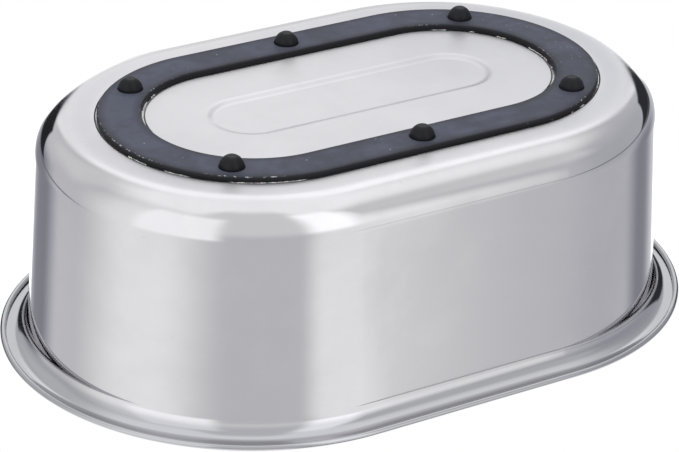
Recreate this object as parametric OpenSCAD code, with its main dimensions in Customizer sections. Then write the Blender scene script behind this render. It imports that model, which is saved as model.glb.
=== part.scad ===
// Oval pedicure foot bath: a drawn steel basin with a rolled rim, on a bonded
// rubber ring that carries six domed feet. Every outline is an offset of one
// straight spine, so straight sides and half-round ends stay concentric.
// Origin: middle of the basin, on the surface that it stands on. +X is its length.

/* [Basin] */
// Length of the straight sides, between the centres of the round ends
straight_len = 127; // [90:1:200]
// Width across the rolled rim
rim_w = 273; // [225:1:340]
// Height of the basin from the underside of its floor to the top of its rim
basin_h = 128; // [90:1:180]
// Width of the flange, from the line of the wall to the outside of the rim
flange_w = 14.8; // [12.5:0.1:22]
// Lean of the wall outwards, in degrees
wall_draft = 3; // [1:0.5:4]
// Thickness of the steel sheet
sheet_t = 0.8; // [0.6:0.1:1.2]
// Outside radius of the round between the wall and the floor
shoulder_r = 20; // [12:1:26]
// Outside radius of the round between the wall and the flange
flange_fillet_r = 10; // [3:0.5:10]
// Diameter of the rolled rim
curl_d = 3.4; // [2.8:0.1:4.5]
// How far the sheet is rolled round, in degrees
curl_sweep = 275; // [180:5:285]

/* [Floor pressings] */
// Width of the raised panel in the middle of the floor
panel_w = 48; // [24:1:90]
// Height of the raised panel above the floor
panel_rise = 1.6; // [0.8:0.2:3]
// Run of the panel's sloping edge
panel_slope = 4; // [2:0.5:8]
// Depth of the channel that takes the rubber ring
channel_depth = 0.8; // [0.4:0.1:1.5]
// Run of the channel's sloping edges
channel_slope = 0.8; // [0.4:0.1:2]
// Gap between the ring and the channel's inner edge
channel_inner_gap = 1.4; // [0.4:0.1:3]
// Gap between the ring and the channel's outer edge
channel_outer_gap = 0.6; // [0.4:0.1:3]

/* [Rubber ring] */
// Width of bare floor between the shoulder and the ring's channel
floor_margin = 12.1; // [4:0.1:20]
// Width of the band of rubber
band_w = 23.8; // [20:0.2:30]
// Thickness of the ring
ring_t = 3.4; // [2.6:0.1:5]
// Radius of the ring's lower edges
ring_edge_r = 1.4; // [0.5:0.1:2]
// Thickness of the adhesive between the ring and the steel
adhesive_t = 0.3; // [0.2:0.1:0.6]
// Margin of bare rubber along each edge of the adhesive
adhesive_margin = 1.5; // [0.5:0.1:3]

/* [Feet] */
// Diameter of a foot's dome
foot_d = 13.4; // [10:0.1:18]
// How much of the dome's tip is flat from standing
foot_flat = 0.5; // [0.1:0.1:2]
// How far the flange that holds a foot in the ring stands out round it
foot_lip = 1.9; // [0.8:0.1:2]
// Thickness of that flange
foot_flange_t = 1.2; // [0.8:0.1:1.6]
// Clearance round a foot and its flange in the ring
foot_gap = 0.25; // [0.1:0.05:0.5]
// Place of the corner feet round the ends, in degrees from the long axis
foot_angle = 52; // [35:1:70]

/* [Hidden] */
FEET = ["foot_left_back", "foot_middle_back", "foot_right_back",
        "foot_right_front", "foot_middle_front", "foot_left_front"];

arc_step = 9;        // degrees between the points of an arc
overlap = 1;         // how far a cutter runs past the surface that it cuts
circle_fn = 96;

spine = straight_len / 2;

// Heights, from the surface that the feet stand on
ring_bottom = foot_d / 2 - foot_flat;
ring_top = ring_bottom + ring_t;
channel_z = ring_top + adhesive_t;
floor_z = channel_z - channel_depth;
rim_z = floor_z + basin_h;
flange_z = rim_z - sheet_t;

// Offsets from the spine. body_off is where the wall's line would reach the floor's underside
rim_off = rim_w / 2;
body_off = rim_off - flange_w - basin_h * tan(wall_draft);
panel_off = panel_w / 2;

// The shoulder touches the floor and the leaning wall; the fillet touches the wall and the flange
shoulder_off = body_off - shoulder_r * (1 - sin(wall_draft)) / cos(wall_draft);
shoulder_z = floor_z + shoulder_r;
fillet_z = flange_z - flange_fillet_r;
fillet_off = body_off
    + ((fillet_z - floor_z) * sin(wall_draft) + flange_fillet_r) / cos(wall_draft);

// The ring's channel ends inside the shoulder, and the ring lies in the channel
ring_out = shoulder_off - floor_margin - channel_slope - channel_outer_gap;
ring_in = ring_out - band_w;
ring_mid = (ring_out + ring_in) / 2;
foot_flange_d = foot_d + 2 * foot_lip;

curl_r = curl_d / 2;
curl_off = rim_off - curl_r;
curl_z = rim_z - curl_r;
curl_end = 90 - curl_sweep;

// One centre for each foot, going round from the left at the back
corner_x = spine + ring_mid * cos(foot_angle);
corner_y = ring_mid * sin(foot_angle);
FOOT_CENTRES = [[-corner_x, corner_y], [0, ring_mid], [corner_x, corner_y],
                [corner_x, -corner_y], [0, -ring_mid], [-corner_x, -corner_y]];

// Points of an arc about centre c, with both ends exact
function arc(c, r, from, to) =
    let (n = ceil(abs(to - from) / arc_step))
    [for (i = [0:n]) let (a = from + (to - from) * i / n) c + r * [cos(a), sin(a)]];

// Sloping edge of a floor pressing, centred on an offset, with its heights inside and outside
function step_edge(off, run, inside_z, outside_z) =
    [[off - run / 2, inside_z], [off + run / 2, outside_z]];

// Line of the floor's underside, from the spine out to the shoulder
function floor_line() = concat(
    [[0, floor_z + panel_rise]],
    step_edge(panel_off - panel_slope / 2, panel_slope, floor_z + panel_rise, floor_z),
    step_edge(ring_in - channel_inner_gap - channel_slope / 2, channel_slope, floor_z, channel_z),
    step_edge(ring_out + channel_outer_gap + channel_slope / 2, channel_slope, channel_z, floor_z));

function raised(points, t) = [for (p = points) p + [0, t]];
function backwards(points) = [for (i = [len(points) - 1:-1:0]) points[i]];

// Section of the sheet from the spine to the rim: along the outside, round the curl, back inside
function shell_section() = concat(
    floor_line(),
    arc([shoulder_off, shoulder_z], shoulder_r, -90, -wall_draft),
    arc([fillet_off, fillet_z], flange_fillet_r, 180 - wall_draft, 90),
    arc([curl_off, curl_z], curl_r - sheet_t, 90, curl_end),
    arc([curl_off, curl_z], curl_r, curl_end, 90),
    arc([fillet_off, fillet_z], flange_fillet_r + sheet_t, 90, 180 - wall_draft),
    arc([shoulder_off, shoulder_z], shoulder_r - sheet_t, -wall_draft, -90),
    backwards(raised(floor_line(), sheet_t)));

function ring_section() = concat(
    [[ring_in, ring_top]],
    arc([ring_in + ring_edge_r, ring_bottom + ring_edge_r], ring_edge_r, 180, 270),
    arc([ring_out - ring_edge_r, ring_bottom + ring_edge_r], ring_edge_r, 270, 360),
    [[ring_out, ring_top]]);

function adhesive_section() = let (a = ring_in + adhesive_margin, b = ring_out - adhesive_margin)
    [[a, ring_top], [b, ring_top], [b, channel_z], [a, channel_z]];

// Carries a section round the spine: two half-round ends and two straight sides
module round_spine(section) {
    for (side = [-1, 1]) {
        translate([side * spine, 0, 0])
            rotate([0, 0, side * 90 - 180])
                rotate_extrude(angle = 180, $fn = circle_fn)
                    polygon(section);
        rotate([90, 0, side * 90])
            translate([0, 0, -spine])
                linear_extrude(straight_len)
                    polygon(section);
    }
}

module basin_shell() {
    color("gainsboro")
        round_spine(shell_section());
}

module anti_slip_ring() {
    color([0.15, 0.15, 0.17])
        difference() {
            round_spine(ring_section());
            for (c = FOOT_CENTRES)
                translate([c.x, c.y, 0])
                    foot_pocket();
        }
}

// Hole for a foot, with the counterbore that takes its flange
module foot_pocket() {
    translate([0, 0, ring_bottom - overlap])
        cylinder(d = foot_d + 2 * foot_gap, h = ring_t + 2 * overlap, $fn = circle_fn);
    translate([0, 0, ring_top - foot_flange_t])
        cylinder(d = foot_flange_d + 2 * foot_gap, h = foot_flange_t + overlap, $fn = circle_fn);
}

module ring_adhesive() {
    color([0.86, 0.85, 0.8])
        round_spine(adhesive_section());
}

// A dome that is worn flat where it stands, a body through the ring and a flange above it
module foot(centre) {
    color([0.1, 0.1, 0.12])
        translate([centre.x, centre.y, 0]) {
            intersection() {
                translate([0, 0, ring_bottom])
                    sphere(d = foot_d, $fn = circle_fn);
                cylinder(d = foot_d + overlap, h = ring_bottom, $fn = circle_fn);
            }
            translate([0, 0, ring_bottom])
                cylinder(d = foot_d, h = ring_t, $fn = circle_fn);
            translate([0, 0, ring_top - foot_flange_t])
                cylinder(d = foot_flange_d, h = foot_flange_t, $fn = circle_fn);
        }
}

basin_shell();
anti_slip_ring();
ring_adhesive();
for (i = [0:len(FEET) - 1]) foot(FOOT_CENTRES[i]);
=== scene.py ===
import math

import bmesh
import bpy
from mathutils import Matrix, Vector


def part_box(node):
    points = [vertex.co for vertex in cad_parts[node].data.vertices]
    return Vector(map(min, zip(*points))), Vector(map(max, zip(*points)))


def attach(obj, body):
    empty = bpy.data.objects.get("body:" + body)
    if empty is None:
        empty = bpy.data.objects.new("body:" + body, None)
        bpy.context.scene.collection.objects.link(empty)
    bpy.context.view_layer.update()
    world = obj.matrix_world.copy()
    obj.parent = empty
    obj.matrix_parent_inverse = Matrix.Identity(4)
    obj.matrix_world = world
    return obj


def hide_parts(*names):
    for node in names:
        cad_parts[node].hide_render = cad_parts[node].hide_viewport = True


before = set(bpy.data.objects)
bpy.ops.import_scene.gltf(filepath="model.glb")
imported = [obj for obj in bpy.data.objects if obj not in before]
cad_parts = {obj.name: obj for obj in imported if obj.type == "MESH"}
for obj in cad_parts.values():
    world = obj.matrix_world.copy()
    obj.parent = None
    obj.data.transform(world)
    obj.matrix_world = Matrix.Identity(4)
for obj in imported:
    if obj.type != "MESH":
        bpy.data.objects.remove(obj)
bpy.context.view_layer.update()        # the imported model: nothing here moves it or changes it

scene = bpy.context.scene
mm = 0.001

print("reading the places of the pieces")
shellLow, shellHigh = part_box("basin_shell")
ringLow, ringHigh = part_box("anti_slip_ring")
bondLow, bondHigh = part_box("ring_adhesive")
footNames = [f"foot_{side}_{row}"
             for row in ("back", "front") for side in ("left", "middle", "right")]
footBoxes = [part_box(name) for name in footNames]
footCentres = [((low.x + high.x) / 2, (low.y + high.y) / 2) for low, high in footBoxes]

# Every outline is an offset of one straight spine, so the box's length less its width is the spine
straightLength = 2 * (shellHigh.x - shellHigh.y)
rimOffset = shellHigh.y
ringMiddle = max(y for x, y in footCentres)
ringOutside = ringHigh.y
ringInside = 2 * ringMiddle - ringOutside


def putNode(tree, kind, inputs=None, **settings):
    # adds a node: an input given as a socket is linked, any other value is set
    node = tree.nodes.new(kind)
    for name, value in settings.items():
        setattr(node, name, value)
    for name, value in (inputs or {}).items():
        if isinstance(value, bpy.types.NodeSocket):
            tree.links.new(value, node.inputs[name])
        else:
            node.inputs[name].default_value = value
    return node


def calc(tree, operation, *values, clamp=False):
    inputs = dict(enumerate(values))
    return putNode(tree, "ShaderNodeMath", inputs, operation=operation, use_clamp=clamp).outputs[0]


def startGeometryTree(name, sizes):
    # a modifier tree with named inputs; sizes maps each input's name to its kind
    tree = bpy.data.node_groups.new(name, "GeometryNodeTree")
    tree.is_modifier = True
    tree.interface.new_socket("Geometry", in_out="INPUT", socket_type="NodeSocketGeometry")
    for label, kind in sizes.items():
        tree.interface.new_socket(label, in_out="INPUT", socket_type="NodeSocket" + kind)
    tree.interface.new_socket("Geometry", in_out="OUTPUT", socket_type="NodeSocketGeometry")
    return tree, tree.nodes.new("NodeGroupInput").outputs


def endGeometryTree(tree, geometry, material):
    real = putNode(tree, "GeometryNodeRealizeInstances", {"Geometry": geometry}).outputs[0]
    smooth = putNode(tree, "GeometryNodeSetShadeSmooth", {"Geometry": real}).outputs[0]
    done = putNode(tree, "GeometryNodeSetMaterial", {"Geometry": smooth, "Material": material})
    tree.links.new(done.outputs[0], tree.nodes.new("NodeGroupOutput").inputs[0])
    return tree


def runTree(obj, tree, settings):
    # sets the modifier's inputs by identifier, then keeps the result as a plain mesh
    modifier = obj.modifiers.new(tree.name, "NODES")
    modifier.node_group = tree
    for item in tree.interface.items_tree:
        if item.in_out == "INPUT" and item.name in settings:
            modifier[item.identifier] = settings[item.name]
    depsgraph = bpy.context.evaluated_depsgraph_get()
    mesh = bpy.data.meshes.new_from_object(obj.evaluated_get(depsgraph), depsgraph=depsgraph)
    obj.modifiers.remove(modifier)
    obj.data = mesh
    return obj


def addObject(name, mesh):
    obj = bpy.data.objects.new(name, mesh)
    scene.collection.objects.link(obj)
    return obj


def arcPoints(centre, radius, start, end, step):
    count = math.ceil(abs(end - start) / step)
    angles = [math.radians(start + (end - start) * i / count) for i in range(count + 1)]
    return [(centre[0] + radius * math.cos(a), centre[1] + radius * math.sin(a)) for a in angles]


def easedStep(middle, run, innerZ, outerZ, count=8):
    # a pressed edge that leaves both floors at a tangent
    points = []
    for i in range(count + 1):
        t = i / count
        eased = (1 - math.cos(math.pi * t)) / 2
        points.append((middle + run * (t - 0.5), innerZ + (outerZ - innerZ) * eased))
    return points


def holdFlats(points, near=0.4 * mm, longest=2 * mm):
    # adds a point near both ends of each long flat, which keeps its shading flat
    held = [points[0]]
    for a, b in zip(points, points[1:]):
        length = math.dist(a, b)
        if length > longest:
            for part in (near / length, 1 - near / length):
                held.append((a[0] + (b[0] - a[0]) * part, a[1] + (b[1] - a[1]) * part))
        held.append(b)
    return held


def sectionObject(name, points):
    # X is the offset from the spine, Z the height, and Y keeps the run along the section
    mesh = bpy.data.meshes.new(name)
    run, verts = 0, []
    for i, point in enumerate(points):
        run += math.dist(point, points[i - 1]) if i else 0
        verts.append((point[0], run, point[1]))
    mesh.from_pydata(verts, [(i, i + 1) for i in range(len(verts) - 1)], [])
    return addObject(name, mesh)


def buildCarryTree():
    # Carries a section round two half-round ends and two straight sides
    tree, size = startGeometryTree("carryRoundSpine", {
        "Straight length": "Float", "Map offset": "Float", "End steps": "Int",
        "Straight steps": "Int", "Weld distance": "Float", "Material": "Material"})

    def do(*values):
        return calc(tree, *values)

    endSteps, straightSteps = size["End steps"], size["Straight steps"]
    count = putNode(tree, "GeometryNodeAttributeDomainSize",
                    {"Geometry": size["Geometry"]}).outputs["Point Count"]
    halfSteps = do("ADD", endSteps, straightSteps)
    columns = do("MULTIPLY_ADD", halfSteps, 2.0, 1.0)
    grid = putNode(tree, "GeometryNodeMeshGrid",
                   {"Vertices X": columns, "Vertices Y": count}).outputs["Mesh"]

    index = tree.nodes.new("GeometryNodeInputIndex").outputs[0]
    column = do("FLOOR", do("DIVIDE", index, count))
    row = do("SUBTRACT", index, do("MULTIPLY", column, count))
    half = do("FLOOR", do("DIVIDE", column, halfSteps))
    step = do("SUBTRACT", column, do("MULTIPLY", half, halfSteps))
    roundPart = do("DIVIDE", do("MINIMUM", step, endSteps), endSteps)
    straightPart = do("DIVIDE", do("MAXIMUM", do("SUBTRACT", step, endSteps), 0.0), straightSteps)
    angle = do("MULTIPLY", do("ADD", roundPart, do("SUBTRACT", half, 0.5)), math.pi)
    way = do("COSINE", do("MULTIPLY", half, math.pi))
    centreX = do("MULTIPLY", do("MULTIPLY", way, size["Straight length"]),
                 do("SUBTRACT", 0.5, straightPart))

    position = tree.nodes.new("GeometryNodeInputPosition").outputs[0]
    sample = putNode(tree, "GeometryNodeSampleIndex",
                     {"Geometry": size["Geometry"], "Index": row}, data_type="FLOAT_VECTOR")
    tree.links.new(position, sample.inputs["Value"])
    point = putNode(tree, "ShaderNodeSeparateXYZ", {0: sample.outputs["Value"]}).outputs
    x = do("MULTIPLY_ADD", point["X"], do("COSINE", angle), centreX)
    y = do("MULTIPLY", point["X"], do("SINE", angle))
    place = putNode(tree, "ShaderNodeCombineXYZ", {"X": x, "Y": y, "Z": point["Z"]}).outputs[0]
    swept = putNode(tree, "GeometryNodeSetPosition",
                    {"Geometry": grid, "Position": place}).outputs[0]

    # the map in metres: round the outline at one offset, and along the section
    endRun = do("MULTIPLY", size["Map offset"], math.pi)
    halfRun = do("ADD", endRun, size["Straight length"])
    straightRun = do("MULTIPLY", straightPart, size["Straight length"])
    along = do("MULTIPLY_ADD", half, halfRun, do("MULTIPLY_ADD", roundPart, endRun, straightRun))
    both = putNode(tree, "ShaderNodeCombineXYZ", {"X": along, "Y": point["Y"]}).outputs[0]
    perPoint = putNode(tree, "GeometryNodeFieldOnDomain", {"Value": both},
                       data_type="FLOAT_VECTOR", domain="POINT")
    mapped = putNode(tree, "GeometryNodeStoreNamedAttribute",
                     {"Geometry": swept, "Name": "sheetMap", "Value": perPoint.outputs[0]},
                     data_type="FLOAT2", domain="CORNER").outputs[0]
    welded = putNode(tree, "GeometryNodeMergeByDistance",
                     {"Geometry": mapped, "Distance": size["Weld distance"]}).outputs[0]
    return endGeometryTree(tree, welded, size["Material"])


basinSizes = {
    "wallDraft": 3,               # degrees
    "sheet": 0.8 * mm,
    "flangeWidth": 14.8 * mm,
    "shoulderRadius": 20 * mm,
    "filletRadius": 10 * mm,
    "curlDiameter": 3.4 * mm,
    "curlSweep": 275,             # degrees
    "panelHalfWidth": 25 * mm,
    "panelRise": 1.6 * mm,
    "panelSlope": 6 * mm,
    "channelSlope": 0.8 * mm,
    "channelInnerGap": 1.4 * mm,
    "channelOuterGap": 0.6 * mm,
    "endSteps": 96,
    "straightSteps": 12,
}


def basinSection():
    s = basinSizes
    draft = math.radians(s["wallDraft"])
    floorZ, rimZ, channelZ = shellLow.z, shellHigh.z, bondHigh.z
    wallOffset = rimOffset - s["flangeWidth"] - (rimZ - floorZ) * math.tan(draft)
    flat = wallOffset - s["shoulderRadius"] * (1 - math.sin(draft)) / math.cos(draft)
    shoulder = (flat, floorZ + s["shoulderRadius"])
    filletZ = rimZ - s["sheet"] - s["filletRadius"]
    rise = (filletZ - floorZ) * math.sin(draft) + s["filletRadius"]
    fillet = (wallOffset + rise / math.cos(draft), filletZ)
    curlRadius = s["curlDiameter"] / 2
    curl = (rimOffset - curlRadius, rimZ - curlRadius)
    curlEnd = 90 - s["curlSweep"]

    panelZ = floorZ + s["panelRise"]
    half = s["channelSlope"] / 2
    panelEdge = s["panelHalfWidth"] - s["panelSlope"] / 2
    innerEdge = ringInside - s["channelInnerGap"] - half
    outerEdge = ringOutside + s["channelOuterGap"] + half
    floorLine = [(0, panelZ)]
    floorLine += easedStep(panelEdge, s["panelSlope"], panelZ, floorZ, count=12)
    floorLine += easedStep(innerEdge, s["channelSlope"], floorZ, channelZ, count=6)
    floorLine += easedStep(outerEdge, s["channelSlope"], channelZ, floorZ, count=6)

    outside = floorLine + arcPoints(shoulder, s["shoulderRadius"], -90, -s["wallDraft"], 2.5)
    outside += arcPoints(fillet, s["filletRadius"], 180 - s["wallDraft"], 90, 5)
    outside += arcPoints(curl, curlRadius - s["sheet"], 90, curlEnd, 18)
    outside += arcPoints(curl, curlRadius, curlEnd, 90, 12)
    inside = arcPoints(fillet, s["filletRadius"] + s["sheet"], 90, 180 - s["wallDraft"], 5)
    inside += arcPoints(shoulder, s["shoulderRadius"] - s["sheet"], -s["wallDraft"], -90, 3)
    inside += [(x, z + s["sheet"]) for x, z in reversed(floorLine)]
    # the run along the section at which the inner side starts goes to the finish
    return holdFlats(outside + inside), sum(math.dist(a, b) for a, b in zip(outside, outside[1:]))


basinPoints, punchSideRun = basinSection()


def addLathe(name, profile, steps):
    # turns a profile of (radius, height) round Z; it starts and ends on the axis
    onAxis = 1e-7
    shape = bmesh.new()
    rings = []
    for radius, z in profile:
        if radius < onAxis:
            rings.append([shape.verts.new((0, 0, z))] * steps)
        else:
            turns = [2 * math.pi * i / steps for i in range(steps)]
            rings.append([shape.verts.new((radius * math.cos(t), radius * math.sin(t), z))
                          for t in turns])
    for lower, upper in zip(rings, rings[1:]):
        for i in range(steps):
            j = (i + 1) % steps
            corners = dict.fromkeys((lower[i], lower[j], upper[j], upper[i]))
            if len(corners) > 2:
                shape.faces.new(list(corners))
    mesh = bpy.data.meshes.new(name)
    shape.to_mesh(mesh)
    shape.free()
    return addObject(name, mesh)


def addPoints(name, places):
    mesh = bpy.data.meshes.new(name)
    mesh.from_pydata([(x, y, 0) for x, y in places], [], [])
    return addObject(name, mesh)


footSizes = {
    "domeRadius": 6.7 * mm,
    "wornEdge": 2 * mm,           # rounding where the dome runs into its flat tip
    "flangeHeight": 1.2 * mm,
    "clearance": 0.25 * mm,       # round a foot in the ring
    "holeLip": 0.2 * mm,          # rounding of the ring's face at each hole
    "steps": 64,
}
ringSizes = {
    "lowerEdge": 1.4 * mm,
    "upperEdge": 0.3 * mm,
    "endSteps": 96,
    "straightSteps": 12,
}


def ringSection():
    s = ringSizes
    lower, upper = s["lowerEdge"], s["upperEdge"]
    bottom, top = ringLow.z, ringHigh.z
    points = arcPoints((ringInside + upper, top - upper), upper, 90, 180, 30)
    points += arcPoints((ringInside + lower, bottom + lower), lower, 180, 270, 9)
    points += arcPoints((ringOutside - lower, bottom + lower), lower, 270, 360, 9)
    points += arcPoints((ringOutside - upper, top - upper), upper, 0, 90, 30)
    return holdFlats(points + points[:1])


def bondSection():
    inside = 2 * ringMiddle - bondHigh.y
    outside, bottom, top = bondHigh.y, bondLow.z, bondHigh.z
    points = [(inside, bottom), (outside, bottom), (outside, top), (inside, top)]
    return holdFlats(points + points[:1])


def footProfile():
    s = footSizes
    dome, blend = s["domeRadius"], s["wornEdge"]
    bottom, top = ringLow.z, ringHigh.z
    flange = (footBoxes[0][1].x - footBoxes[0][0].x) / 2
    blendX = math.sqrt((dome - blend) ** 2 - (bottom - blend) ** 2)
    meet = math.degrees(math.atan2(blend - bottom, blendX))
    points = [(0, 0), (blendX * 0.6, 0)]
    points += arcPoints((blendX, blend), blend, -90, meet, 6)
    points += arcPoints((0, bottom), dome, meet, 0, 5)[1:]
    flangeZ = top - s["flangeHeight"]
    points += [(dome, flangeZ), (flange, flangeZ), (flange, top), (0, top)]
    return points


def pocketProfile():
    # the hole and counterbore for a foot, with the flare that rounds the ring's face
    s = footSizes
    bottom, top = ringLow.z, ringHigh.z
    hole = s["domeRadius"] + s["clearance"]
    bore = (footBoxes[0][1].x - footBoxes[0][0].x) / 2 + s["clearance"]
    flare = hole + s["holeLip"]
    points = [(0, bottom - mm), (flare, bottom - mm)]
    points += arcPoints((flare, bottom + s["holeLip"]), s["holeLip"], -90, -180, 15)
    shoulderZ = top - s["flangeHeight"]
    points += [(hole, shoulderZ), (bore, shoulderZ), (bore, top + mm), (0, top + mm)]
    return points


def buildPocketTree():
    # cuts one tool out of a piece at every place
    tree, size = startGeometryTree("cutPockets", {
        "Tool": "Object", "Places": "Object", "Material": "Material"})
    tool = putNode(tree, "GeometryNodeObjectInfo", {"Object": size["Tool"]}).outputs["Geometry"]
    places = putNode(tree, "GeometryNodeObjectInfo", {"Object": size["Places"]}).outputs["Geometry"]
    tools = putNode(tree, "GeometryNodeInstanceOnPoints",
                    {"Points": places, "Instance": tool}).outputs[0]
    realTools = putNode(tree, "GeometryNodeRealizeInstances", {"Geometry": tools}).outputs[0]
    cut = putNode(tree, "GeometryNodeMeshBoolean",
                  {"Mesh 1": size["Geometry"], "Mesh 2": realTools},
                  operation="DIFFERENCE", solver="EXACT").outputs["Mesh"]
    return endGeometryTree(tree, cut, size["Material"])


def buildRepeatTree():
    # sets a piece out at every place, each one turned at random
    tree, size = startGeometryTree("setOutPieces", {
        "Piece": "Object", "Seed": "Int", "Material": "Material"})
    piece = putNode(tree, "GeometryNodeObjectInfo", {"Object": size["Piece"]}).outputs["Geometry"]
    turn = putNode(tree, "FunctionNodeRandomValue", {3: 2 * math.pi, "Seed": size["Seed"]},
                   data_type="FLOAT")
    angle = putNode(tree, "ShaderNodeCombineXYZ", {"Z": turn.outputs[1]}).outputs[0]
    copies = putNode(tree, "GeometryNodeInstanceOnPoints",
                     {"Points": size["Geometry"], "Instance": piece, "Rotation": angle}).outputs[0]
    return endGeometryTree(tree, copies, size["Material"])


def addPath(name, arcs):
    # each arc is (centre x, offset, height, start and end in degrees)
    mesh = bpy.data.meshes.new(name)
    verts, edges = [], []
    for centre, offset, height, start, end in arcs:
        first = len(verts)
        verts += [(x, y, height) for x, y in arcPoints((centre, 0), offset, start, end, 3)]
        edges += [(i, i + 1) for i in range(first, len(verts) - 1)]
    mesh.from_pydata(verts, edges, [])
    return addObject(name, mesh)


def buildBeadTree():
    # scatters beads of squeezed-out adhesive along a path, in clumps
    tree, size = startGeometryTree("scatterBeads", {
        "Bead": "Object", "Spacing": "Float", "Stray": "Float",
        "Smallest": "Float", "Largest": "Float",
        "Clump scale": "Float", "Clump limit": "Float", "Seed": "Int", "Material": "Material"})
    path = putNode(tree, "GeometryNodeMeshToCurve", {"Mesh": size["Geometry"]}).outputs[0]
    points = putNode(tree, "GeometryNodeCurveToPoints",
                     {"Curve": path, "Length": size["Spacing"]}, mode="LENGTH").outputs["Points"]

    def anyVector(low, high, turn):
        seed = calc(tree, "ADD", size["Seed"], float(turn))
        return putNode(tree, "FunctionNodeRandomValue", {0: low, 1: high, "Seed": seed},
                       data_type="FLOAT_VECTOR").outputs[0]

    aside = anyVector((-1, -1, -0.4), (1, 1, 0.4), 1)
    reach = putNode(tree, "ShaderNodeVectorMath", {0: aside, "Scale": size["Stray"]},
                    operation="SCALE").outputs[0]
    strewn = putNode(tree, "GeometryNodeSetPosition",
                     {"Geometry": points, "Offset": reach}).outputs[0]
    place = tree.nodes.new("GeometryNodeInputPosition").outputs[0]
    clumps = noise(tree, place, size["Clump scale"], 1.0, 0.5)
    chosen = calc(tree, "GREATER_THAN", clumps, size["Clump limit"])
    bead = putNode(tree, "GeometryNodeObjectInfo", {"Object": size["Bead"]}).outputs["Geometry"]
    grown = putNode(tree, "FunctionNodeRandomValue",
                    {2: size["Smallest"], 3: size["Largest"], "Seed": size["Seed"]},
                    data_type="FLOAT").outputs[1]
    lopsided = anyVector((0.7, 0.5, 0.5), (1.6, 0.9, 0.8), 2)
    squash = putNode(tree, "ShaderNodeVectorMath", {0: lopsided, "Scale": grown},
                     operation="SCALE").outputs[0]
    copies = putNode(tree, "GeometryNodeInstanceOnPoints", {
        "Points": strewn, "Selection": chosen, "Instance": bead, "Scale": squash,
        "Rotation": anyVector((-0.3, -0.3, 0), (0.3, 0.3, 6.28), 3)}).outputs[0]
    return endGeometryTree(tree, copies, size["Material"])


def startShaderGroup(name, inputs, outputs):
    # a group of shader nodes that more than one finish uses
    group = bpy.data.node_groups.new(name, "ShaderNodeTree")
    for label, kind in inputs.items():
        group.interface.new_socket(label, in_out="INPUT", socket_type="NodeSocket" + kind)
    for label, kind in outputs.items():
        group.interface.new_socket(label, in_out="OUTPUT", socket_type="NodeSocket" + kind)
    return group, group.nodes.new("NodeGroupInput").outputs, group.nodes.new("NodeGroupOutput")


def useGroup(tree, group, values):
    node = tree.nodes.new("ShaderNodeGroup")
    node.node_tree = group
    for name, value in values.items():
        if isinstance(value, bpy.types.NodeSocket):
            tree.links.new(value, node.inputs[name])
        else:
            node.inputs[name].default_value = value
    return node.outputs


def noise(tree, vector, scale, detail=3.0, roughness=0.55, distortion=0.0):
    return putNode(tree, "ShaderNodeTexNoise", {
        "Vector": vector, "Scale": scale, "Detail": detail, "Roughness": roughness,
        "Distortion": distortion}).outputs["Fac"]


def ramp(tree, value, low, high, start=0.0, end=1.0, kind="SMOOTHSTEP"):
    return putNode(tree, "ShaderNodeMapRange", {
        "Value": value, "From Min": low, "From Max": high, "To Min": start, "To Max": end},
        interpolation_type=kind).outputs[0]


def blendColour(tree, amount, first, second):
    mixed = putNode(tree, "ShaderNodeMix", data_type="RGBA")
    for socket, value in ((0, amount), (6, first), (7, second)):
        if isinstance(value, bpy.types.NodeSocket):
            tree.links.new(value, mixed.inputs[socket])
        elif socket:
            mixed.inputs[socket].default_value = (*value, 1)
        else:
            mixed.inputs[socket].default_value = value
    return mixed.outputs[2]


def buildGrain():
    # fine skin of a moulded or drawn surface, as a height
    group, given, out = startShaderGroup("fineGrain", {
        "Vector": "Vector", "Scale": "Float", "Pits": "Float"}, {"Height": "Float"})
    skin = noise(group, given["Vector"], given["Scale"], 4.0, 0.6)
    cells = putNode(group, "ShaderNodeTexVoronoi",
                    {"Vector": given["Vector"], "Scale": given["Scale"]})
    pit = ramp(group, cells.outputs["Distance"], 0.05, 0.35)
    pitted = calc(group, "MULTIPLY", calc(group, "SUBTRACT", pit, 1.0), given["Pits"])
    group.links.new(calc(group, "ADD", skin, pitted), out.inputs["Height"])
    return group


def buildClouding():
    # broad soft patches, such as bloom, handling and dried water
    group, given, out = startShaderGroup("clouding", {
        "Vector": "Vector", "Scale": "Float", "Amount": "Float"}, {"Mask": "Float"})
    broad = noise(group, given["Vector"], given["Scale"], 2.0, 0.5, 0.6)
    fine = noise(group, given["Vector"], calc(group, "MULTIPLY", given["Scale"], 4.3), 3.0, 0.6)
    both = calc(group, "MULTIPLY_ADD", fine, 0.35, calc(group, "MULTIPLY", broad, 0.65))
    patches = ramp(group, both, 0.38, 0.64)
    group.links.new(calc(group, "MULTIPLY", patches, given["Amount"]), out.inputs["Mask"])
    return group


def buildSpecks():
    # scattered specks: dust on rubber, pinholes and grit marks on steel
    group, given, out = startShaderGroup("specks", {
        "Vector": "Vector", "Scale": "Float", "Size": "Float", "Share": "Float"},
        {"Mask": "Float"})
    cells = putNode(group, "ShaderNodeTexVoronoi",
                    {"Vector": given["Vector"], "Scale": given["Scale"]})
    chance = putNode(group, "ShaderNodeSeparateColor", {0: cells.outputs["Color"]}).outputs
    chosen = calc(group, "LESS_THAN", chance[0], given["Share"])
    reach = calc(group, "MULTIPLY", given["Size"], calc(group, "MULTIPLY_ADD", chance[1], 0.8, 0.2))
    near = calc(group, "DIVIDE", cells.outputs["Distance"], reach)
    near = calc(group, "SUBTRACT", 1.0, near, clamp=True)
    speck = calc(group, "MULTIPLY", ramp(group, near, 0.0, 0.5), chosen)
    group.links.new(speck, out.inputs["Mask"])
    return group


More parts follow.
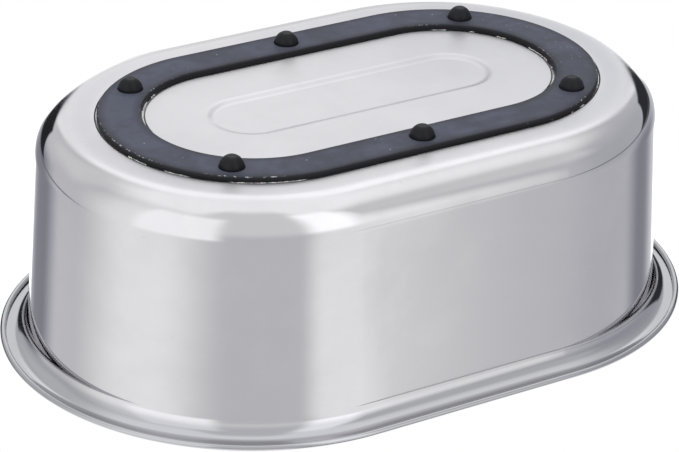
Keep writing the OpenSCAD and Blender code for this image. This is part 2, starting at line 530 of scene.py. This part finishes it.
def buildHairlines():
    # fine lines drawn out along the first axis of the map
    group, given, out = startShaderGroup("hairlines", {
        "Vector": "Vector", "Spacing": "Float", "Length": "Float"},
        {"Height": "Float", "Mask": "Float"})
    parts = putNode(group, "ShaderNodeSeparateXYZ", {0: given["Vector"]}).outputs
    drawn = putNode(group, "ShaderNodeCombineXYZ", {
        "X": calc(group, "DIVIDE", parts["X"], given["Length"]),
        "Y": calc(group, "DIVIDE", parts["Y"], given["Spacing"])}).outputs[0]
    lines = noise(group, drawn, 1.0, 3.0, 0.7)
    group.links.new(lines, out.inputs["Height"])
    group.links.new(ramp(group, lines, 0.62, 0.72), out.inputs["Mask"])
    return group


def buildOffset():
    # distance from the straight spine that every outline follows
    group, given, out = startShaderGroup("spineOffset", {
        "Vector": "Vector", "Half length": "Float"}, {"Offset": "Float"})
    parts = putNode(group, "ShaderNodeSeparateXYZ", {0: given["Vector"]}).outputs
    past = calc(group, "SUBTRACT", calc(group, "ABSOLUTE", parts["X"]), given["Half length"])
    past = calc(group, "MAXIMUM", past, 0.0)
    across = calc(group, "MULTIPLY", parts["Y"], parts["Y"])
    squares = calc(group, "MULTIPLY_ADD", past, past, across)
    group.links.new(calc(group, "SQRT", squares), out.inputs["Offset"])
    return group


print("building the shader groups")
grain = buildGrain()
clouding = buildClouding()
specks = buildSpecks()
hairlines = buildHairlines()
spineOffset = buildOffset()


def startMaterial(name, settings):
    # settings are the constant sockets of the Principled shader
    material = bpy.data.materials.new(name)
    material.use_nodes = True
    tree = material.node_tree
    shader = tree.nodes["Principled BSDF"]
    for socket, value in settings.items():
        shader.inputs[socket].default_value = value
    place = tree.nodes.new("ShaderNodeTexCoord").outputs["Object"]
    return material, tree, shader, place


def addBump(tree, shader, layers):
    # stacks bumps, each one a height and its depth in metres
    normal = None
    for height, depth in layers:
        bump = putNode(tree, "ShaderNodeBump",
                       {"Height": height, "Distance": depth, "Strength": 1.0})
        if normal:
            tree.links.new(normal, bump.inputs["Normal"])
        normal = bump.outputs["Normal"]
    tree.links.new(normal, shader.inputs["Normal"])


steelFinish = {
    "colour": (0.608, 0.600, 0.616),
    "dulled": (0.53, 0.525, 0.54),
    "roughness": 0.03,
    "smearRoughness": 0.06,
    "markRoughness": 0.12,
    "smearScale": 13.0,
    "gritScale": 260.0,
    "gritSize": 0.22,
    "gritShare": 0.05,
    "smearMarks": 0.4,            # how much of each kind of mark shows
    "lineMarks": 0.35,
    "gritMarks": 0.5,
    "floorRoughness": 0.33,       # the floor is satin
    "satinFrom": 108 * mm,        # offsets between which it turns to polish on the shoulder
    "satinTo": 91 * mm,
    "punchRoughness": 0.11,       # the side that was drawn over the punch
    "punchBlend": 2 * mm,
    # painted shade on the floor: a darker grey that stands in for what the floor mirrors
    "paintedFloorShade": (0.45, 0.452, 0.475),
    "paintedFloorShadeFrom": 40 * mm,    # along the length, where the painted shade starts to grow
    "paintedFloorShadeTo": -120 * mm,
    "paintedFloorShadeLeast": 0.14,
    "paintedFloorShadeMost": 0.55,
    "paintedEndShade": 0.3,              # more painted shade outside the ring, towards both ends
    "paintedEndShadeFrom": 60 * mm,
    "paintedEndShadeTo": 150 * mm,
    "paintedEndShadeBlend": 6 * mm,
    # painted shade over the underside of the rim
    "rimShade": (0.41, 0.412, 0.43),
    "paintedRimShadeAmount": 0.9,
    "rimRoughness": 0.075,
    "paintedRimShadeBelow": (12 * mm, 9 * mm),       # under the rim's top, where the painted shade fades in
    "rimShadeWithin": (15.2 * mm, 13.5 * mm), # inside the rim's edge, likewise
    "lineSpacing": 0.35 * mm,
    "lineLength": 60 * mm,
    "lineDepth": 0.0006 * mm,
    "ripple": 0.050 * mm,         # drawing ripples in the sheet
    "rippleScale": 17,
}


def makeSteel():
    s = steelFinish
    material, tree, shader, place = startMaterial("polishedSteel", {"Metallic": 1.0})
    sheet = putNode(tree, "ShaderNodeUVMap", uv_map="sheetMap").outputs[0]
    parts = putNode(tree, "ShaderNodeSeparateXYZ", {0: place}).outputs
    offset = useGroup(tree, spineOffset, {
        "Vector": place, "Half length": straightLength / 2})["Offset"]

    lines = useGroup(tree, hairlines, {
        "Vector": sheet, "Spacing": s["lineSpacing"], "Length": s["lineLength"]})
    smears = useGroup(tree, clouding, {
        "Vector": place, "Scale": s["smearScale"], "Amount": 1.0})["Mask"]
    grit = useGroup(tree, specks, {
        "Vector": place, "Scale": s["gritScale"], "Size": s["gritSize"],
        "Share": s["gritShare"]})["Mask"]
    marks = calc(tree, "MULTIPLY_ADD", lines["Mask"], s["lineMarks"],
                 calc(tree, "MULTIPLY", grit, s["gritMarks"]), clamp=True)
    marks = calc(tree, "MULTIPLY_ADD", smears, s["smearMarks"], marks, clamp=True)
    colour = blendColour(tree, marks, s["colour"], s["dulled"])
    rough = ramp(tree, smears, 0.0, 1.0, s["roughness"], s["smearRoughness"], "LINEAR")
    satin = ramp(tree, offset, s["satinFrom"], s["satinTo"])
    rough = calc(tree, "MAXIMUM", rough, calc(tree, "MULTIPLY", satin, s["floorRoughness"]))
    punchSide = ramp(tree, putNode(tree, "ShaderNodeSeparateXYZ", {0: sheet}).outputs["Y"],
                     punchSideRun, punchSideRun + s["punchBlend"])
    rough = calc(tree, "MAXIMUM", rough, calc(tree, "MULTIPLY", punchSide, s["punchRoughness"]))

    # painted shade: a darker grey laid into the floor's colour for the dim surroundings it mirrors,
    # deeper towards one end and outside the ring
    outside = ramp(tree, offset, ringOutside, ringOutside + s["paintedEndShadeBlend"])
    ends = ramp(tree, calc(tree, "ABSOLUTE", parts["X"]), s["paintedEndShadeFrom"], s["paintedEndShadeTo"])
    paintedShade = ramp(tree, parts["X"], s["paintedFloorShadeFrom"], s["paintedFloorShadeTo"],
                 s["paintedFloorShadeLeast"], s["paintedFloorShadeMost"])
    paintedShade = calc(tree, "MULTIPLY_ADD", calc(tree, "MULTIPLY", outside, ends), s["paintedEndShade"],
                 paintedShade, clamp=True)
    colour = blendColour(tree, calc(tree, "MULTIPLY", satin, paintedShade), colour, s["paintedFloorShade"])

    # and a painted shade over the underside of the rim, where it lies in shade
    below, within = s["paintedRimShadeBelow"], s["rimShadeWithin"]
    high = ramp(tree, parts["Z"], shellHigh.z - below[0], shellHigh.z - below[1])
    underRim = calc(tree, "MULTIPLY", high,
                    ramp(tree, offset, rimOffset - within[0], rimOffset - within[1]))
    colour = blendColour(tree, calc(tree, "MULTIPLY", underRim, s["paintedRimShadeAmount"]),
                         colour, s["rimShade"])
    rough = calc(tree, "MAXIMUM", rough, calc(tree, "MULTIPLY", underRim, s["rimRoughness"]))
    tree.links.new(colour, shader.inputs["Base Color"])
    tree.links.new(calc(tree, "MULTIPLY_ADD", marks, s["markRoughness"], rough),
                   shader.inputs["Roughness"])
    ripples = noise(tree, place, s["rippleScale"], 1.0, 0.4)
    addBump(tree, shader, [(ripples, s["ripple"]), (lines["Height"], s["lineDepth"])])
    return material


rubberFinish = {
    # the lighter grey here is partly mottled blooming and partly painted light, which on the ring
    # lights the sides that look towards the brightest light
    "ring": {"colour": (0.010, 0.010, 0.013), "bloomAndPaintedLight": (0.076, 0.083, 0.116),
             "roughness": 0.55, "grain": 900.0, "paintedLightAndFlash": 1.0, "sheen": 0.0, "specular": 0.25},
    "foot": {"colour": (0.005, 0.005, 0.007), "bloomAndPaintedLight": (0.011, 0.012, 0.017),
             "roughness": 0.5, "grain": 1400.0, "paintedLightAndFlash": 0.0, "sheen": 0.12, "specular": 0.16},
    "sheenRoughness": 0.15,
    "grainPits": 0.5,
    "grainDepth": 0.02 * mm,
    "bloomScale": 38.0,
    "bloomAmount": 0.4,
    "bloomRoughness": 0.15,
    "paintedLightFacing": (-0.55, -0.96),    # how squarely a surface looks down, towards the brightest light, before it takes the painted light
    "paintedEdgeShadeSpan": (0.24, 0.5),         # in band widths from its middle, where the painted light thins to painted shade
    "paintedLightAtEdge": 0.36,
    "dust": (0.42, 0.43, 0.46),
    "dustScale": 420.0,
    "dustSize": 0.30,
    "dustShare": 0.035,
    "dustCover": 0.55,
    "dustDepth": 0.04 * mm,
    "scuffScale": 560.0,
    "scuffSize": 0.42,
    "scuffShare": 0.3,
    "scuffCover": 0.5,
    "scuffPatches": 70.0,
    "scuffedEnd": (-95 * mm, -125 * mm),      # along the length, towards the scuffed end
    "wornDepth": 0.7 * mm,
    "wornCover": 0.05,
    "wornRoughness": 0.25,
    "flash": (0.58, 0.59, 0.62),      # torn mould flash with adhesive on it
    "flashInset": 0.65 * mm,
    "flashWidth": 0.4 * mm,
    "tearScale": 420.0,
    "tearPatches": 24.0,
    "tornEnds": (70 * mm, 95 * mm),
}


def makeRubber(name, finish, scuffedBelow):
    # scuffedBelow is the height under which the rubber is worn from standing
    r = rubberFinish
    bandWidth = ringOutside - ringInside
    material, tree, shader, place = startMaterial(name, {
        "Specular IOR Level": finish["specular"], "Coat Weight": finish["sheen"],
        "Coat Roughness": r["sheenRoughness"]})
    parts = putNode(tree, "ShaderNodeSeparateXYZ", {0: place}).outputs
    offset = useGroup(tree, spineOffset, {
        "Vector": place, "Half length": straightLength / 2})["Offset"]
    aside = calc(tree, "ABSOLUTE", calc(tree, "SUBTRACT", offset, ringMiddle))

    # painted light: on the ring, the broad side that looks down towards the brightest light is
    # painted a lighter grey, mottled with blooming, and it thins to painted shade at the black
    # edges; on the feet only the mottled blooming shows
    bloomAndPaintedLight = useGroup(tree, clouding, {
        "Vector": place, "Scale": r["bloomScale"], "Amount": r["bloomAmount"]})["Mask"]
    normal = tree.nodes.new("ShaderNodeNewGeometry").outputs["Normal"]
    facing = putNode(tree, "ShaderNodeSeparateXYZ", {0: normal}).outputs["Z"]
    paintedLitFace = ramp(tree, facing, *r["paintedLightFacing"])
    paintedEdgeShade = ramp(tree, aside, bandWidth * r["paintedEdgeShadeSpan"][0], bandWidth * r["paintedEdgeShadeSpan"][1],
                   1.0, r["paintedLightAtEdge"])
    paintedLitFace = calc(tree, "MULTIPLY", paintedLitFace, paintedEdgeShade)
    mottledPaintedLight = calc(tree, "MULTIPLY", paintedLitFace, calc(tree, "SUBTRACT", 1.0, bloomAndPaintedLight))
    bloomAndPaintedLight = ramp(tree, finish["paintedLightAndFlash"], 0.0, 1.0, bloomAndPaintedLight, mottledPaintedLight, "LINEAR")

    dust = useGroup(tree, specks, {
        "Vector": place, "Scale": r["dustScale"], "Size": r["dustSize"],
        "Share": r["dustShare"]})["Mask"]
    scuffs = useGroup(tree, specks, {
        "Vector": place, "Scale": r["scuffScale"], "Size": r["scuffSize"],
        "Share": r["scuffShare"]})["Mask"]
    nearEnd = calc(tree, "MULTIPLY", ramp(tree, parts["X"], *r["scuffedEnd"]),
                   ramp(tree, noise(tree, place, r["scuffPatches"], 2.0), 0.44, 0.6))
    dust = calc(tree, "MULTIPLY_ADD", calc(tree, "MULTIPLY", scuffs, nearEnd), r["scuffCover"],
                dust, clamp=True)
    skin = useGroup(tree, grain, {
        "Vector": place, "Scale": finish["grain"], "Pits": r["grainPits"]})["Height"]
    worn = ramp(tree, parts["Z"], scuffedBelow, scuffedBelow - r["wornDepth"])
    colour = blendColour(tree, bloomAndPaintedLight, finish["colour"], finish["bloomAndPaintedLight"])
    colour = blendColour(tree, calc(tree, "MULTIPLY", worn, r["wornCover"]), colour, r["dust"])
    colour = blendColour(tree, calc(tree, "MULTIPLY", dust, r["dustCover"]), colour, r["dust"])

    # torn flash runs along both edges of a moulded piece, towards its ends
    inward = calc(tree, "SUBTRACT", aside, bandWidth / 2 - r["flashInset"])
    edge = calc(tree, "ABSOLUTE", calc(tree, "DIVIDE", inward, r["flashWidth"]))
    edge = calc(tree, "SUBTRACT", 1.0, edge, clamp=True)
    torn = ramp(tree, noise(tree, place, r["tearScale"], 3.0, 0.7), 0.55, 0.63)
    patches = ramp(tree, noise(tree, place, r["tearPatches"], 1.0), 0.47, 0.55)
    ends = ramp(tree, calc(tree, "ABSOLUTE", parts["X"]), *r["tornEnds"])
    torn = calc(tree, "MULTIPLY", calc(tree, "MULTIPLY", torn, patches), ends)
    flash = calc(tree, "MULTIPLY", calc(tree, "MULTIPLY", edge, torn), finish["paintedLightAndFlash"])
    colour = blendColour(tree, flash, colour, r["flash"])

    tree.links.new(colour, shader.inputs["Base Color"])
    rough = calc(tree, "MULTIPLY_ADD", bloomAndPaintedLight, r["bloomRoughness"], finish["roughness"])
    tree.links.new(calc(tree, "MULTIPLY_ADD", worn, r["wornRoughness"], rough, clamp=True),
                   shader.inputs["Roughness"])
    addBump(tree, shader, [(skin, r["grainDepth"]), (dust, r["dustDepth"])])
    return material


bondFinish = {
    "colour": (0.90, 0.89, 0.86),
    "aged": (0.74, 0.72, 0.67),
    "roughness": 0.35,
    "softness": 0.25,             # how much light goes into it
    "softDepth": 0.4 * mm,
    "agedScale": 160.0,
    "agedAmount": 0.8,
    "grain": 1800.0,
    "grainPits": 0.3,
    "grainDepth": 0.02 * mm,
}


def makeBond():
    s = bondFinish
    material, tree, shader, place = startMaterial("bondingAdhesive", {
        "Roughness": s["roughness"], "Subsurface Weight": s["softness"],
        "Subsurface Scale": s["softDepth"]})
    aged = useGroup(tree, clouding, {
        "Vector": place, "Scale": s["agedScale"], "Amount": s["agedAmount"]})["Mask"]
    skin = useGroup(tree, grain, {
        "Vector": place, "Scale": s["grain"], "Pits": s["grainPits"]})["Height"]
    tree.links.new(blendColour(tree, aged, s["colour"], s["aged"]), shader.inputs["Base Color"])
    addBump(tree, shader, [(skin, s["grainDepth"])])
    return material


print("mixing the finishes")
polishedSteel = makeSteel()
ringRubber = makeRubber("ringRubber", rubberFinish["ring"], -mm)
footRubber = makeRubber("footRubber", rubberFinish["foot"], 0.5 * mm)
bondingAdhesive = makeBond()


def keepPiece(piece, slot, *nodes):
    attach(piece, "root")
    if nodes:
        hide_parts(*nodes)


def removeTools(*tools):
    for tool in tools:
        bpy.data.objects.remove(tool)


print("sweeping the basin, ring and bond")
carryTree, pocketTree, repeatTree = buildCarryTree(), buildPocketTree(), buildRepeatTree()


def sweep(name, points, sizes, material):
    return runTree(sectionObject(name, points), carryTree, {
        "Straight length": straightLength, "Map offset": rimOffset,
        "End steps": sizes["endSteps"], "Straight steps": sizes["straightSteps"],
        "Weld distance": 0.001 * mm, "Material": material})


basin = sweep("basin_steel", basinPoints, basinSizes, polishedSteel)
keepPiece(basin, "polished_steel", "basin_shell")

ring = sweep("ring_rubber_band", ringSection(), ringSizes, ringRubber)
pocketTool = addLathe("pocketTool", pocketProfile(), footSizes["steps"])
footPlaces = addPoints("footPlaces", footCentres)
runTree(ring, pocketTree, {"Tool": pocketTool, "Places": footPlaces, "Material": ringRubber})
keepPiece(ring, "ring_rubber", "anti_slip_ring")

bond = sweep("ring_bond", bondSection(), ringSizes, bondingAdhesive)
keepPiece(bond, "adhesive", "ring_adhesive")

print("setting out the feet")
footPiece = addLathe("footPiece", footProfile(), footSizes["steps"])
feet = addPoints("domed_feet", footCentres)
runTree(feet, repeatTree, {"Piece": footPiece, "Seed": 4, "Material": footRubber})
keepPiece(feet, "foot_rubber", *footNames)

print("squeezing out the adhesive")
beadSizes = {
    "innerGap": 0.55 * mm,        # from the ring's edges to the middle of each trail
    "outerGap": 0.25 * mm,
    "hang": 0.55 * mm,            # below the steel
    "Spacing": 0.45 * mm,
    "Stray": 0.22 * mm,
    "Smallest": 0.15 * mm,
    "Largest": 0.50 * mm,
    "Clump scale": 95.0,
    "Clump limit": 0.52,
}


def addBeads():
    s = beadSizes
    height = bondHigh.z - s["hang"]
    inner, outer = ringInside - s["innerGap"], ringOutside + s["outerGap"]
    half = straightLength / 2
    trail = addPath("squeezed_beads", [
        (-half, inner, height, 105, 235), (-half, outer, height, 215, 250),
        (half, outer, height, -85, -10), (half, inner, height, -20, 60)])
    bead = addLathe("beadPiece", [(0, -0.6), (0.75, -0.4), (1, 0.1), (0.7, 0.5), (0, 0.65)], 8)
    runTree(trail, buildBeadTree(), {
        "Bead": bead, "Seed": 11, "Material": bondingAdhesive,
        **{name: value for name, value in s.items() if name[0].isupper()}})
    keepPiece(trail, "adhesive")
    removeTools(bead)


addBeads()
removeTools(pocketTool, footPlaces, footPiece)


# Soft panels round the basin, each one laid over those before it: its place round and above the
# basin in degrees, half its size, its soft edge, its light, and how far it leans round for each
# degree up. An azimuth of 0 is the right end, -90 the front, and -90 up is straight below.
studioPanels = {
    "leftEndFill": dict(azimuth=-170, elevation=-6, across=38, up=30, edge=20, light=0.44),
    "underGlow": dict(azimuth=0, elevation=-90, across=400, up=40, edge=14, light=0.98),
    "frontRightLow": dict(azimuth=-60, elevation=-40, across=34, up=36, edge=10, light=0.69),
    "backLow": dict(azimuth=122, elevation=-44, across=24, up=14, edge=9, light=1.15),
    "rightEndWash": dict(azimuth=-4, elevation=0, across=28, up=52, edge=20, light=0.87),
    "rightEndKey": dict(azimuth=-22, elevation=-18, across=22, up=32, edge=5, light=1.03),
    "frontLeftLow": dict(azimuth=-135, elevation=-38, across=15, up=11, edge=8, light=0.64),
    "backRightLow": dict(azimuth=66, elevation=-36, across=22, up=16, edge=10, light=0.66),
    "frontStripSoft": dict(azimuth=-101, elevation=-10, across=9, up=50, edge=7, light=0.85),
    "frontStrip": dict(azimuth=-111, elevation=0, across=11.5, up=50, edge=3, light=0.86),
    "frontStripLow": dict(azimuth=-104, elevation=-32, across=13.5, up=28, edge=6, light=1.22),
    "backRightDim": dict(azimuth=81, elevation=17, across=15, up=21, edge=10, light=0.23),
    "backLeftDim": dict(azimuth=169, elevation=22, across=12, up=14, edge=9, light=0.24),
    "backKey": dict(azimuth=122, elevation=6, across=23, up=22, edge=2, light=1.2),
    "backKeyGap": dict(azimuth=120, elevation=-4, across=6, up=20, edge=3, light=0.65),
    "backKeyFoot": dict(azimuth=122, elevation=-24, across=24, up=7, edge=3, light=0.88),
    "blackFlagRight": dict(azimuth=93, elevation=-5, across=11, up=11, edge=1.5, light=0.02,
                           lean=-0.75),
    "blackFlagLeft": dict(azimuth=155, elevation=-7, across=13, up=11, edge=1.5, light=0.03,
                          lean=1.0),
    "darkSlipRight": dict(azimuth=64, elevation=11.5, across=5, up=6, edge=3, light=0.15,
                          lean=-4),
    "darkSlipLeft": dict(azimuth=-162, elevation=6.5, across=7, up=5.5, edge=3, light=0.18,
                         lean=6.5),
    "ceiling": dict(azimuth=0, elevation=90, across=400, up=48, edge=14, light=1.0),
    "ceilingGap": dict(azimuth=-118, elevation=54, across=30, up=9, edge=5, light=0.1),
}
studioLight = {
    "ambient": 0.56,
    "dimTint": (0.92, 0.94, 1.06),
    "brightTint": (0.985, 0.99, 1.0),
    "dimFrom": 0.7,               # light at which the tint starts to turn cool
    "dimTo": 0.2,
    "power": 1.4,
    "backdrop": 1.0,
}


def buildPanel():
    group, given, out = startShaderGroup("softPanel", {
        "Azimuth": "Float", "Elevation": "Float",
        "Centre azimuth": "Float", "Centre elevation": "Float",
        "Half width": "Float", "Half height": "Float", "Edge": "Float", "Lean": "Float"},
        {"Mask": "Float"})

    def band(distance, half):
        outer = calc(group, "ADD", half, given["Edge"])
        inner = calc(group, "SUBTRACT", half, given["Edge"])
        return ramp(group, distance, outer, inner)

    up = calc(group, "SUBTRACT", given["Elevation"], given["Centre elevation"])
    centre = calc(group, "MULTIPLY_ADD", given["Lean"], up, given["Centre azimuth"])
    aside = calc(group, "WRAP", calc(group, "SUBTRACT", given["Azimuth"], centre), 180.0, -180.0)
    mask = calc(group, "MULTIPLY", band(calc(group, "ABSOLUTE", aside), given["Half width"]),
                band(calc(group, "ABSOLUTE", up), given["Half height"]))
    group.links.new(mask, out.inputs["Mask"])
    return group


def buildWorld():
    world = bpy.data.worlds.new("paleStudio")
    world.use_nodes = True
    tree = world.node_tree
    tree.nodes.clear()
    panel = buildPanel()
    direction = tree.nodes.new("ShaderNodeTexCoord").outputs["Generated"]
    parts = putNode(tree, "ShaderNodeSeparateXYZ", {0: direction}).outputs
    azimuth = calc(tree, "DEGREES", calc(tree, "ARCTAN2", parts["Y"], parts["X"]))
    elevation = calc(tree, "DEGREES", calc(tree, "ARCSINE", parts["Z"]))
    light = studioLight["ambient"]
    for p in studioPanels.values():
        mask = useGroup(tree, panel, {
            "Azimuth": azimuth, "Elevation": elevation, "Centre azimuth": p["azimuth"],
            "Centre elevation": p["elevation"], "Half width": p["across"], "Half height": p["up"],
            "Edge": p["edge"], "Lean": p.get("lean", 0)})["Mask"]
        light = ramp(tree, mask, 0.0, 1.0, light, p["light"], "LINEAR")
    dim = ramp(tree, light, studioLight["dimFrom"], studioLight["dimTo"])
    tint = blendColour(tree, dim, studioLight["brightTint"], studioLight["dimTint"])
    strength = calc(tree, "MULTIPLY", light, studioLight["power"])
    studio = putNode(tree, "ShaderNodeBackground", {"Color": tint, "Strength": strength})
    backdrop = putNode(tree, "ShaderNodeBackground",
                       {"Color": (1, 1, 1, 1), "Strength": studioLight["backdrop"]})
    seen = tree.nodes.new("ShaderNodeLightPath").outputs["Is Camera Ray"]
    either = putNode(tree, "ShaderNodeMixShader",
                     {0: seen, 1: studio.outputs[0], 2: backdrop.outputs[0]})
    output = tree.nodes.new("ShaderNodeOutputWorld")
    tree.links.new(either.outputs[0], output.inputs["Surface"])
    scene.world = world


floorSizes = {"halfWidth": 6, "colour": (0.86, 0.86, 0.87, 1), "roughness": 0.9}


def buildFloor():
    # a pale floor under the feet, seen by the camera alone and only from above
    shape = bmesh.new()
    bmesh.ops.create_grid(shape, x_segments=8, y_segments=8, size=floorSizes["halfWidth"])
    mesh = bpy.data.meshes.new("studioFloor")
    shape.to_mesh(mesh)
    shape.free()
    floor = addObject("studioFloor", mesh)
    material, tree, shader, place = startMaterial("palePaper", {
        "Base Color": floorSizes["colour"], "Roughness": floorSizes["roughness"]})
    behind = tree.nodes.new("ShaderNodeNewGeometry").outputs["Backfacing"]
    clear = tree.nodes.new("ShaderNodeBsdfTransparent").outputs[0]
    either = putNode(tree, "ShaderNodeMixShader",
                     {0: behind, 1: shader.outputs[0], 2: clear}).outputs[0]
    tree.links.new(either, tree.nodes["Material Output"].inputs["Surface"])
    mesh.materials.append(material)
    for ray in ("diffuse", "glossy", "transmission", "volume_scatter", "shadow"):
        setattr(floor, "visible_" + ray, False)


viewpoint = {
    "aim": Vector((9.8, -6.9, 85.2)) * mm,
    "azimuth": 32.2,
    "elevation": -26.6,
    "distance": 1680 * mm,
    "roll": 181.7,                # the basin is looked at upside down
    "lens": 161,
}


def addCamera():
    v = viewpoint
    a, e = math.radians(v["azimuth"]), math.radians(v["elevation"])
    back = Vector((math.sin(a) * math.cos(e), -math.cos(a) * math.cos(e), math.sin(e)))
    lens = bpy.data.cameras.new("studioCamera")
    lens.lens, lens.sensor_width = v["lens"], 36
    lens.clip_start, lens.clip_end = 0.1, 50
    camera = addObject("studioCamera", lens)
    roll = Matrix.Rotation(math.radians(v["roll"]), 3, "Z")
    turn = (-back).to_track_quat("-Z", "Y").to_matrix() @ roll
    camera.matrix_world = Matrix.Translation(v["aim"] + back * v["distance"]) @ turn.to_4x4()
    scene.camera = camera


print("lighting the studio")
buildWorld()
buildFloor()
addCamera()
scene.view_settings.view_transform = "Standard"
